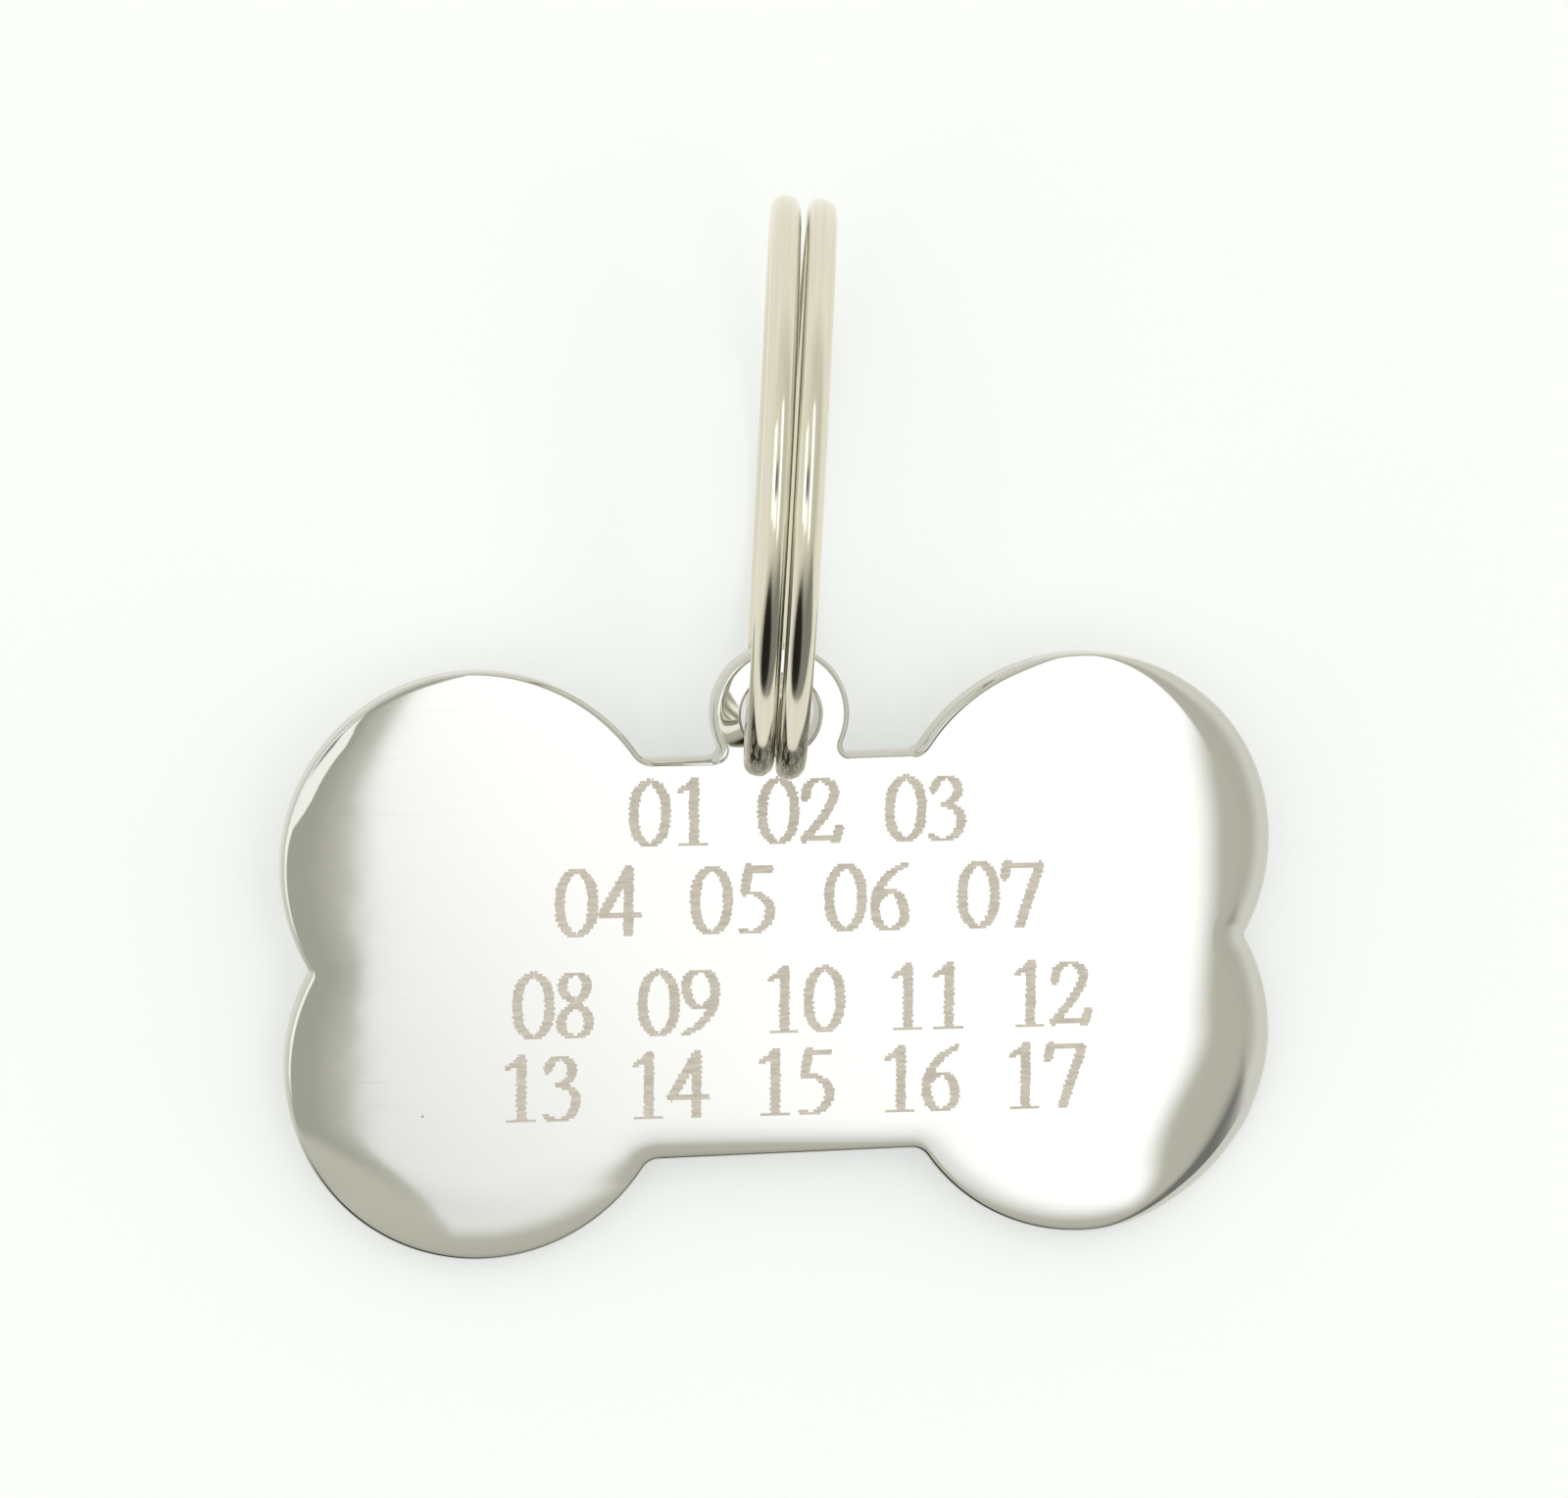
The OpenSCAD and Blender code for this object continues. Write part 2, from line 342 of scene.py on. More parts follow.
# How finely the tag's mesh is cut: turns in degrees, distances in millimetres
fineness = {
    "lobeTurn": 1.5,
    "cornerTurn": 7.5,
    "earTurn": 4.0,
    "straight": 0.25,
    "rollSteps": 8,
    "footSteps": 5,
    "wallSteps": 4,
    "rimSpacing": 0.12,
    "rimReach": 1.2,
    "innerSpacing": 0.24,
    "innerReach": 3.7,
    "ringSlack": 0.004,
    "ringFromHole": 0.25,
    "holeSides": 96,
    "holeShare": 0.999,
    "holeRimSteps": 4,
    "boreShares": (0.33, 0.67),
    "collars": (0.02, 0.1, 0.2),
    "collarFromRim": 0.4,
    "gridSpacing": 0.45,
    "gridClearance": 0.3,
    "same": 1e-6,
}


def blend(first, second, share):
    return first + (second - first) * share


def smoothStep(low, high, value):
    share = np.clip((value - low) / (high - low), 0.0, 1.0)
    return share * share * (3 - 2 * share)


def outlineArcs():
    # The bone's outline as arcs, anticlockwise from the right notch:
    # middle, radius, 1 bulging or -1 hollow, first and last direction in degrees, step
    lobeX, lobeY = plate["lobeSpan"] / 2, plate["lobeRise"] / 2
    barY = plate["barHeight"] / 2
    lobe, corner, notch = plate["lobeRadius"], plate["cornerRadius"], plate["notchRadius"]
    ear, neck = plate["earRadius"], plate["neckRadius"]
    earY = barY + plate["earLift"]
    notchX = lobeX + math.sqrt((lobe + notch) ** 2 - lobeY ** 2)
    cornerY = barY + corner
    cornerX = lobeX - math.sqrt((lobe + corner) ** 2 - (cornerY - lobeY) ** 2)
    neckY = barY + neck
    neckX = math.sqrt((ear + neck) ** 2 - (earY - neckY) ** 2)
    notchTurn = math.degrees(math.atan2(lobeY, notchX - lobeX))
    cornerTurn = math.degrees(math.atan2(cornerY - lobeY, cornerX - lobeX))
    neckTurn = math.degrees(math.atan2(earY - neckY, neckX))
    fine, coarse = fineness["lobeTurn"], fineness["cornerTurn"]
    right = [
        ((lobeX, lobeY), lobe, 1, -notchTurn, cornerTurn, fine),
        ((cornerX, cornerY), corner, -1, cornerTurn + 180, 270, coarse),
        ((neckX, neckY), neck, -1, 270, 180 - neckTurn, coarse),
    ]
    left = [
        ((-x, y), radius, bulge, 180 - last, 180 - first, step)
        for (x, y), radius, bulge, first, last, step in right[::-1]
    ]
    top = right + [((0, earY), ear, 1, -neckTurn, 180 + neckTurn, fineness["earTurn"])] + left
    leftNotch = [((-notchX, 0), notch, -1, notchTurn, -notchTurn, coarse)]
    bottom = [
        ((-lobeX, -lobeY), lobe, 1, 180 - notchTurn, 180 + cornerTurn, fine),
        ((-cornerX, -cornerY), corner, -1, cornerTurn, 90, coarse),
        ((cornerX, -cornerY), corner, -1, 90, 180 - cornerTurn, coarse),
        ((lobeX, -lobeY), lobe, 1, -cornerTurn, notchTurn, fine),
    ]
    rightNotch = [((notchX, 0), notch, -1, 180 + notchTurn, 180 - notchTurn, coarse)]
    return rightNotch + top + leftNotch + bottom


def outlineStations(arcs):
    # Points along the outline with their outward direction, straight edges included
    points, normals = [], []
    for (x, y), radius, bulge, first, last, step in arcs:
        count = max(2, math.ceil(abs(last - first) / step))
        for number in range(count + 1):
            angle = math.radians(first + (last - first) * number / count)
            direction = np.array([math.cos(angle), math.sin(angle)])
            point = np.array([x, y]) + radius * direction
            if points and np.hypot(*(point - points[-1])) < fineness["same"]:
                continue
            normal = bulge * direction
            if number == 0 and points:
                start = points[-1]
                gap = point - start
                pieces = math.floor(np.hypot(*gap) / fineness["straight"])
                for piece in range(1, pieces):
                    points.append(start + gap * piece / pieces)
                    normals.append(normal)
            points.append(point)
            normals.append(normal)
    if np.hypot(*(points[0] - points[-1])) < fineness["same"]:
        points.pop()
        normals.pop()
    return np.array(points), np.array(normals)


def rimDistance(spots, outline):
    # Distance of each spot from the nearest stretch of the outline
    best = np.full(len(spots), np.inf)
    for start, end in zip(outline, np.roll(outline, -1, axis=0)):
        run = end - start
        share = np.clip(((spots - start) @ run) / (run @ run), 0, 1)
        best = np.minimum(best, np.hypot(*(spots - start - share[:, None] * run).T))
    return best


def nearestDistance(spots, others):
    # Distance of each spot from the nearest of the others, taken in blocks to save memory
    best = np.full(len(spots), np.inf)
    block = 400
    for start in range(0, len(others), block):
        gap = spots[:, None, :] - others[None, start:start + block, :]
        best = np.minimum(best, np.sqrt((gap ** 2).sum(axis=2)).min(axis=1))
    return best


def insidePolygon(spots, polygon):
    inside = np.zeros(len(spots), bool)
    x, y = spots[:, 0], spots[:, 1]
    for (x0, y0), (x1, y1) in zip(polygon, np.roll(polygon, -1, axis=0)):
        if y0 == y1:
            continue
        crosses = (y0 > y) != (y1 > y)
        inside ^= crosses & (x < (x1 - x0) * (y - y0) / (y1 - y0) + x0)
    return inside


# How the polishing wheel left the face: rolled edges, gentle falls towards the rims, a worn shoulder.
# Lengths and spans are in millimetres from the bar's middle, across to the right and along towards the
# ear. Only shoulderFrom and shoulderTo are in degrees.
polish = {
    "edgeRoll": 0.13,
    "topRoll": 0.26,
    "topRollAlong": (4.0, 6.5),
    "topRollLeft": (-12.5, -9.5),
    "topRollRight": (9.0, 11.0),
    "rightRollWidth": 1.38,
    "rightRollDrop": 0.75,
    "rightReach": 0.18,
    "rightSpan": (12.0, 18.2),
    "fallWidth": 2.4,
    "fallSlope": 0.014,
    "frontFallLeft": 3.4,
    "frontFallRight": 1.7,
    "frontFallSlope": 0.09,
    "frontFallAcross": (-6, 6),
    "frontSpan": (-8.6, -5.6),
    "earAlong": (7.5, 8.3),
    "earAcross": (3.0, 4.0),
    "endSlope": 0.042,
    "endLength": 3.0,
    "endFrom": 13.85,
    "endTop": 0.5,
    "endTopSpan": (4, 8.5),
    "endMiddle": 0.35,
    "endMiddleSpan": (-3, 2),
    "endFront": 2.0,
    "endFrontSpan": (-9, -3.5),
    "shoulderWidth": 0.62,
    "shoulderSlope": 0.09,
    "shoulderInset": 0.06,
    "shoulderSoftness": 0.003,
    "shoulderAcross": (11.6, 12.6),
    "shoulderFrom": (1, 26),
    "shoulderTo": (42, 62),
}


def rightShare(spots):
    return smoothStep(*polish["rightSpan"], spots[:, 0])


def topShare(spots):
    # The upper edges of the lobes towards the bar are rolled a little more
    across, along = spots[:, 0], spots[:, 1]
    top = smoothStep(*polish["topRollAlong"], along) * (1 - smoothStep(*polish["topRollRight"], across))
    return top * smoothStep(*polish["topRollLeft"], across)


def rollWidth(spots):
    width = blend(polish["edgeRoll"], polish["topRoll"], topShare(spots))
    return blend(width, polish["rightRollWidth"], rightShare(spots))


def rollDrop(spots, inset):
    width = rollWidth(spots)
    share = np.clip(1 - inset / width, 0, 1)
    depth = blend(width, polish["rightRollDrop"], rightShare(spots))
    return depth * (1 - np.sqrt(np.clip(1 - share ** 2, 0, 1)))


def rimFall(across, along, inset):
    # The gentle fall towards the rims: stronger along the front, none on the ear
    front = 1 - smoothStep(*polish["frontSpan"], along)
    frontRight = smoothStep(*polish["frontFallAcross"], across)
    frontReach = blend(polish["frontFallLeft"], polish["frontFallRight"], frontRight)
    reach = blend(polish["fallWidth"], frontReach, front)
    slope = blend(polish["fallSlope"], polish["frontFallSlope"], front)
    fall = slope * reach / 3 * np.clip(1 - inset / reach, 0, 1) ** 3
    onEar = smoothStep(*polish["earAlong"], along) * (1 - smoothStep(*polish["earAcross"], np.abs(across)))
    return fall * (1 - onEar)


def endFall(across, along):
    # The right end bends down, beginning further left towards the top and the front
    start = polish["endFrom"] - polish["endTop"] * smoothStep(*polish["endTopSpan"], along)
    start = start - polish["endMiddle"] * (1 - smoothStep(*polish["endMiddleSpan"], along))
    start = start - polish["endFront"] * (1 - smoothStep(*polish["endFrontSpan"], along))
    past = np.clip(across - start, 0, None)
    return polish["endSlope"] * past ** 3 / (3 * polish["endLength"] ** 2)


def shoulderFall(across, along, inset):
    # A worn facet along the upper left lobe, placed by the direction from the lobe's middle in degrees
    turn = np.degrees(np.arctan2(along - plate["lobeRise"] / 2, -across - plate["lobeSpan"] / 2))
    worn = smoothStep(*polish["shoulderFrom"], turn) * (1 - smoothStep(*polish["shoulderTo"], turn))
    worn = worn * smoothStep(*polish["shoulderAcross"], -across)
    over = polish["shoulderWidth"] * worn - polish["shoulderInset"] - inset
    return polish["shoulderSlope"] * worn * (over + np.sqrt(over ** 2 + polish["shoulderSoftness"])) / 2


def faceDrop(spots, inset):
    # How far the polished face lies below the flat middle, at an inset from the outline
    across, along = spots[:, 0], spots[:, 1]
    falls = rimFall(across, along, inset) + endFall(across, along) + shoulderFall(across, along, inset)
    return rollDrop(spots, inset) + falls


def backRise(inset):
    # Height of the back face above its flat middle, at the edge that stands on the table
    edge = plate["footEdge"]
    share = np.clip(1 - inset / edge, 0, 1)
    return edge * (1 - np.sqrt(1 - share ** 2))


def tagPose():
    # The lean of the tag on the ring, worked out from the height of the hole
    half = plate["thickness"] / 2
    edge = plate["footEdge"]
    earY = plate["barHeight"] / 2 + plate["earLift"]
    footReach = plate["lobeRise"] / 2 + plate["lobeRadius"] - edge
    footHeight = half - edge
    arm = math.hypot(earY + footReach, footHeight)
    slope = math.asin((holeAt.z / mm - edge) / arm) - math.atan2(footHeight, earY + footReach)
    lift = footReach * math.sin(slope) + footHeight * math.cos(slope) + edge
    shift = holeAt.y / mm - earY * math.cos(slope)
    place = Matrix.Translation((0, shift * mm, lift * mm))
    return place @ Matrix.Rotation(slope, 4, "X") @ Matrix.Scale(mm, 4)


def holeMiddle():
    return np.array([plate["holeSide"], plate["barHeight"] / 2 + plate["earLift"]])


def aroundHole(radius):
    # Places on a circle around the middle of the hole
    turns = np.arange(fineness["holeSides"]) * 2 * math.pi / fineness["holeSides"]
    return holeMiddle() + radius * np.column_stack([np.cos(turns), np.sin(turns)])


def holeDistance(spots):
    return np.hypot(*(spots - holeMiddle()).T)


def facePlaces(outline, rolled, insetRings):
    # Places of the face's points: collars around the hole, rings inside the rim and a grid between them
    bore = plate["holeRadius"] + plate["rimRadius"]
    places = []
    for gap in fineness["collars"]:
        collar = aroundHole(bore + gap)
        places.append(collar[rimDistance(collar, outline) > fineness["collarFromRim"]])
    for inset, ring in insetRings:
        clear = rimDistance(ring, outline) > inset - fineness["ringSlack"]
        places.append(ring[clear & (holeDistance(ring) > bore + fineness["ringFromHole"])])
    step = fineness["gridSpacing"]
    xs = np.arange(outline[:, 0].min(), outline[:, 0].max(), step)
    ys = np.arange(outline[:, 1].min(), outline[:, 1].max(), step * math.sqrt(3) / 2)
    grid = np.array([(x + (row % 2) * step / 2, y) for row, y in enumerate(ys) for x in xs])
    clearance = fineness["gridClearance"]
    grid = grid[insidePolygon(grid, outline)]
    grid = grid[(rimDistance(grid, outline) > clearance) & (holeDistance(grid) > bore + clearance)]
    grid = grid[nearestDistance(grid, np.concatenate([rolled, *places])) > clearance]
    return np.concatenate([*places, grid])


def triangulate(rolled, holeRing, places):
    # One flat skin of triangles between the rolled edge and the hole.
    # Also says which of its points each point of the two rings became.
    count, holeCount = len(rolled), len(holeRing)
    spots = np.concatenate([rolled, holeRing, places])
    edges = [(i, (i + 1) % count) for i in range(count)]
    edges += [(count + i, count + (i + 1) % holeCount) for i in range(holeCount)]
    vertices, _, polygons, sources, *_ = delaunay_2d_cdt([Vector(s) for s in spots], edges, [], 0, 1e-7)
    flat = np.array([tuple(v) for v in vertices])
    triangles = [f for f in polygons if len(f) == 3]
    middles = np.array([flat[list(f)].mean(axis=0) for f in triangles])
    nearHole = (plate["holeRadius"] + plate["rimRadius"]) * fineness["holeShare"]
    inside = insidePolygon(middles, rolled) & (holeDistance(middles) > nearHole)
    became = {source: index for index, merged in enumerate(sources) for source in merged}
    rolledAt = [became[i] for i in range(count)]
    holeAtFace = [became[count + i] for i in range(holeCount)]
    return flat, [f for f, good in zip(triangles, inside) if good], rolledAt, holeAtFace


def addRing(vertices, spots, heights):
    # Adds a ring of points and returns their numbers
    start = len(vertices)
    vertices.extend((x, y, z) for (x, y), z in zip(spots, heights))
    return list(range(start, len(vertices)))


def edgeRings(vertices, outline, normals, rolls):
    # Rings of points round the foot's edge, up the wall and over the rolled edge
    half, foot = plate["thickness"] / 2, plate["footEdge"]
    widths = rolls[-1][0]
    rings = []
    first = np.arcsin(np.clip(1 - widths / foot, 0, 1))
    for step in range(1, fineness["footSteps"] + 1):
        away = foot * (1 - np.sin(first + (math.pi / 2 - first) * step / fineness["footSteps"]))
        rings.append(addRing(vertices, outline - normals * away[:, None], backRise(away) - half))
    top = half - faceDrop(outline, np.zeros(len(outline)))
    low = foot - half
    for step in range(1, fineness["wallSteps"]):
        rings.append(addRing(vertices, outline, low + (top - low) * step / fineness["wallSteps"]))
    for inset, ring in rolls[:-1]:
        rings.append(addRing(vertices, ring, half - faceDrop(ring, inset)))
    return rings


def boreRings(vertices, frontHeights):
    # Rings of points from the front over the hole's rim, through the bore and over the rim at the back
    half, radius, rim = plate["thickness"] / 2, plate["holeRadius"], plate["rimRadius"]
    steps = fineness["holeRimSteps"]
    turns = [math.pi / 2 * step / steps for step in range(1, steps + 1)]
    rings = []
    for turn in turns:
        spots = aroundHole(radius + rim * (1 - math.sin(turn)))
        rings.append(addRing(vertices, spots, frontHeights - rim * (1 - math.cos(turn))))
    for share in fineness["boreShares"]:
        rings.append(addRing(vertices, aroundHole(radius), blend(frontHeights - rim, rim - half, share)))
    for turn in turns[::-1]:
        spots = aroundHole(radius + rim * (1 - math.sin(turn)))
        rings.append(addRing(vertices, spots, np.full(len(spots), rim * (1 - math.cos(turn)) - half)))
    return rings


def buildTagMesh():
    outline, normals = outlineStations(outlineArcs())
    outline[:, 0] += polish["rightReach"] * rightShare(outline)
    width = rollWidth(outline)
    turns = np.radians(np.linspace(90, 0, fineness["rollSteps"] + 1))
    rollInsets = [width * (1 - math.sin(turn)) for turn in turns]
    nearRim = np.arange(fineness["rimSpacing"], fineness["rimReach"], fineness["rimSpacing"])
    further = np.arange(fineness["rimReach"], fineness["innerReach"], fineness["innerSpacing"])
    innerInsets = [width + extra for extra in np.concatenate([nearRim, further])]
    rolls = [(inset, outline - normals * inset[:, None]) for inset in rollInsets]
    insetRings = [(inset, outline - normals * inset[:, None]) for inset in innerInsets]
    rolled = rolls[-1][1]
    holeRing = aroundHole(plate["holeRadius"] + plate["rimRadius"])
    places = facePlaces(outline, rolled, insetRings)
    flat, triangles, rolledAt, holeAtFace = triangulate(rolled, holeRing, places)

    # Front and back skins from one triangulation, joined by the edge and by the hole
    half = plate["thickness"] / 2
    inset = rimDistance(flat, outline)
    front = half - faceDrop(flat, inset)
    total = len(flat)
    vertices = []
    addRing(vertices, flat, front)
    addRing(vertices, flat, backRise(inset) - half)
    polygons = [tuple(f) for f in triangles]
    polygons += [tuple(total + i for i in reversed(f)) for f in triangles]
    edge = [[total + i for i in rolledAt], *edgeRings(vertices, outline, normals, rolls), rolledAt]
    for lower, upper in zip(edge, edge[1:]):
        for i in range(len(lower)):
            j = (i + 1) % len(lower)
            polygons.append((lower[i], lower[j], upper[j], upper[i]))
    bore = [holeAtFace, *boreRings(vertices, front[holeAtFace]), [total + i for i in holeAtFace]]
    for upper, lower in zip(bore, bore[1:]):
        for i in range(len(upper)):
            j = (i + 1) % len(upper)
            polygons.append((upper[i], lower[i], lower[j], upper[j]))
    mesh = bpy.data.meshes.new("polishedTag")
    mesh.from_pydata(vertices, [], polygons)
    mesh.transform(tagPose())
    mesh.validate()
    return mesh


def makePiece(name, mesh, body, slotName, material, *nodes):
    piece = bpy.data.objects.new(name, mesh)
    bpy.context.scene.collection.objects.link(piece)
    mesh.materials.append(material)
    for polygon in mesh.polygons:
        polygon.use_smooth = True
    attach(piece, body)
    if nodes:
        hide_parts(*nodes)
    return piece


def shaderGroup(name, inputs, outputs):
    # An empty node group with its sockets; returns the tree, the group's inputs and its output node
    tree = bpy.data.node_groups.new(name, "ShaderNodeTree")
    for label, kind, value in inputs:
        socket = tree.interface.new_socket(name=label, in_out="INPUT", socket_type=kind)
        if value is not None:
            socket.default_value = value
    for label, kind in outputs:
        tree.interface.new_socket(name=label, in_out="OUTPUT", socket_type=kind)
    return tree, put(tree, "NodeGroupInput").outputs, put(tree, "NodeGroupOutput")


def useGroup(tree, group, **values):
    node = put(tree, "ShaderNodeGroup", node_tree=group)
    for label, value in values.items():
        if isinstance(value, (int, float)):
            node.inputs[label].default_value = value
        else:
            tree.links.new(value, node.inputs[label])
    return node.outputs


def stretchedNoise(tree, vector, stretch, turn=0, scale=1.0, detail=2.0):
    mapping = put(tree, "ShaderNodeMapping")
    mapping.inputs["Scale"].default_value = stretch
    mapping.inputs["Rotation"].default_value = (0.0, 0.0, math.radians(turn))
    tree.links.new(vector, mapping.inputs["Vector"])
    noise = put(tree, "ShaderNodeTexNoise")
    noise.inputs["Scale"].default_value = scale
    noise.inputs["Detail"].default_value = detail
    tree.links.new(mapping.outputs[0], noise.inputs["Vector"])
    return noise.outputs["Fac"]


def inMillimetres(tree):
    coordinate = put(tree, "ShaderNodeTexCoord")
    scaled = put(tree, "ShaderNodeVectorMath", operation="SCALE")
    scaled.inputs["Scale"].default_value = 1 / mm
    tree.links.new(coordinate.outputs["Object"], scaled.inputs[0])
    return scaled.outputs[0]


def bumpNormal(tree, height, strength, depth):
    # The depth is in millimetres
    bump = put(tree, "ShaderNodeBump")
    bump.inputs["Strength"].default_value = strength
    bump.inputs["Distance"].default_value = depth * mm
    tree.links.new(height, bump.inputs["Height"])
    return bump.outputs["Normal"]


# Small marks that the materials share: the scratches' directions in degrees with their stretch per
# millimetre, and the specks' cells per millimetre
marks = {
    "scratches": ((24, (0.22, 9.0, 1.0)), (-61, (0.3, 11.0, 1.0))),
    "scratchRise": (0.66, 0.74),
    "speckScale": 0.5,
    "speckDensity": 0.3,
    "speckSize": 0.06,
}


def makeHairlines():
    # Sparse fine scratches in two directions, from coordinates in millimetres
    inputs = [("Vector", "NodeSocketVector", None)]
    group, given, result = shaderGroup("hairlines", inputs, [("Mask", "NodeSocketFloat")])
    lines = []
    for turn, stretch in marks["scratches"]:
        noise = stretchedNoise(group, given["Vector"], stretch, turn)
        lines.append(rampUp(group, noise, *marks["scratchRise"]))
    group.links.new(calc(group, "MAXIMUM", *lines), result.inputs["Mask"])
    return group


def makeSpecks():
    # Scattered small marks: dust and nicks, from coordinates in millimetres
    inputs = [
        ("Vector", "NodeSocketVector", None),
        ("Density", "NodeSocketFloat", marks["speckDensity"]),
        ("Size", "NodeSocketFloat", marks["speckSize"]),
    ]
    group, given, result = shaderGroup("specks", inputs, [("Mask", "NodeSocketFloat")])
    cells = put(group, "ShaderNodeTexVoronoi", feature="F1")
    cells.inputs["Scale"].default_value = marks["speckScale"]
    group.links.new(given["Vector"], cells.inputs["Vector"])
    near = calc(group, "LESS_THAN", cells.outputs["Distance"], given["Size"])
    split = put(group, "ShaderNodeSeparateColor")
    group.links.new(cells.outputs["Color"], split.inputs[0])
    chosen = calc(group, "LESS_THAN", split.outputs[0], given["Density"])
    group.links.new(product(group, near, chosen), result.inputs["Mask"])
    return group


steel = {
    "color": (0.585, 0.59, 0.575),
    "scratchColor": (0.45, 0.45, 0.43),
    "scratchShare": 0.04,
    "dustColor": (0.33, 0.30, 0.26),
    "dustDensity": 0.10,
    "dustSize": 0.028,
    "roughness": 0.025,
    "hazeRoughness": 0.03,
    "scratchRoughness": 0.015,
    "hazeScale": 0.35,
    "waveStretch": (0.5, 1.0, 1.0),
    "waveTurn": 8,
    "waveScale": 0.8,
    "waveStrength": 0.04,
    "waveDepth": 0.02,
}


def polishedSteel(hairlines, specks):
    # Mirror polish with faint wheel waves, hairline scratches and a little dust
    material, tree, shader = newMaterial("polishedSteel")
    place = inMillimetres(tree)
    scratch = useGroup(tree, hairlines, Vector=place)["Mask"]
    dust = useGroup(tree, specks, Vector=place, Density=steel["dustDensity"], Size=steel["dustSize"])["Mask"]
    haze = stretchedNoise(tree, place, (1.0, 1.0, 1.0), scale=steel["hazeScale"], detail=3.0)
    scratched = product(tree, scratch, steel["scratchShare"])
    color = mixColor(tree, scratched, steel["color"], steel["scratchColor"])
    color = mixColor(tree, dust, color, steel["dustColor"])
    tree.links.new(color, shader.inputs["Base Color"])
    shader.inputs["Metallic"].default_value = 1.0
    rough = weighted(tree, haze, steel["hazeRoughness"], scratch, steel["scratchRoughness"])
    tree.links.new(calc(tree, "ADD", rough, steel["roughness"]), shader.inputs["Roughness"])
    waves = stretchedNoise(tree, place, steel["waveStretch"], steel["waveTurn"], steel["waveScale"], 1.0)
    normal = bumpNormal(tree, waves, steel["waveStrength"], steel["waveDepth"])
    tree.links.new(normal, shader.inputs["Normal"])
    return material


etched = {
    "darkColor": (0.64, 0.595, 0.54),
    "paleColor": (0.80, 0.745, 0.69),
    "stretch": (1.5, 10.0, 1.0),
    "rise": (0.3, 0.7),
    "roughness": 0.7,
}


def etchedGrey():
    # Laser-burned steel: matt, a little uneven from line to line
    material, tree, shader = newMaterial("etchedGrey")
    uneven = stretchedNoise(tree, inMillimetres(tree), etched["stretch"])
    tone = rampUp(tree, uneven, *etched["rise"])
    color = mixColor(tree, tone, etched["darkColor"], etched["paleColor"])
    tree.links.new(color, shader.inputs["Base Color"])
    shader.inputs["Metallic"].default_value = 0.0
    shader.inputs["Roughness"].default_value = etched["roughness"]
    return material


# The ring's wire: sizes in millimetres, angles in degrees. The probe, in radians, is how far before
# and after a point the wire's direction is measured
wire = {
    "ringDiameter": 21.4,
    "wireDiameter": 1.1,
    "coilGap": 0.07,
    "coilSpread": 0.17,
    "coilShift": 0.06,
    "crossingRun": 2.6,
    "crossingAngle": -130,
    "endGap": 0.2,
    "rise": 39,
    "crownFlatness": 2.15,
    "crownLean": 0.15,
    "sides": 40,
    "step": 1.0,
    "probe": 0.01,
    "darkColor": (0.69, 0.67, 0.585),
    "paleColor": (0.76, 0.74, 0.65),
    "streakStretch": (26.0, 9.0, 1.0),
    "streakRise": (0.35, 0.65),
    "streakShare": 0.7,
    "fineStretch": (90.0, 30.0, 1.0),
    "fineShare": 0.3,
    "nickColor": (0.45, 0.40, 0.33),
    "nickShare": 0.5,
    "nickDensity": 0.25,
    "nickSize": 0.03,
    "roughness": 0.10,
    "fineRoughness": 0.05,
    "streakHeight": 0.6,
    "fineHeight": 0.4,
    "bumpStrength": 0.08,
    "bumpDepth": 0.01,
}


def springWire(specks):
    # Bright drawn wire: fine lines run along it, and its tone wanders slightly
    material, tree, shader = newMaterial("springWire")
    unrolled = put(tree, "ShaderNodeTexCoord").outputs["UV"]
    streaks = stretchedNoise(tree, unrolled, wire["streakStretch"], detail=3.0)
    fine = stretchedNoise(tree, unrolled, wire["fineStretch"])
    place = inMillimetres(tree)
    nicks = useGroup(tree, specks, Vector=place, Density=wire["nickDensity"], Size=wire["nickSize"])["Mask"]
    streakTone = rampUp(tree, streaks, *wire["streakRise"])
    tone = weighted(tree, streakTone, wire["streakShare"], fine, wire["fineShare"])
    color = mixColor(tree, tone, wire["darkColor"], wire["paleColor"])
    color = mixColor(tree, product(tree, nicks, wire["nickShare"]), color, wire["nickColor"])
    tree.links.new(color, shader.inputs["Base Color"])
    shader.inputs["Metallic"].default_value = 1.0
    rough = calc(tree, "ADD", product(tree, fine, wire["fineRoughness"]), wire["roughness"])
    tree.links.new(rough, shader.inputs["Roughness"])
    height = weighted(tree, streaks, wire["streakHeight"], fine, wire["fineHeight"])
    normal = bumpNormal(tree, height, wire["bumpStrength"], wire["bumpDepth"])
    tree.links.new(normal, shader.inputs["Normal"])
    return material


def coilPose(ringRadius):
    # From the ring's own plane to its place in the tag's hole
    forward = Vector((-ringAxis.y, ringAxis.x, 0)).normalized()
    upward = ringAxis.cross(forward)
    rise = math.radians(wire["rise"])
    centre = holeAt + (forward * math.cos(rise) + upward * math.sin(rise)) * ringRadius * mm
    return Matrix((
        (forward.x * mm, upward.x * mm, ringAxis.x * mm, centre.x),
        (forward.y * mm, upward.y * mm, ringAxis.y * mm, centre.y),
        (forward.z * mm, upward.z * mm, ringAxis.z * mm, centre.z),
        (0, 0, 0, 1),
    ))


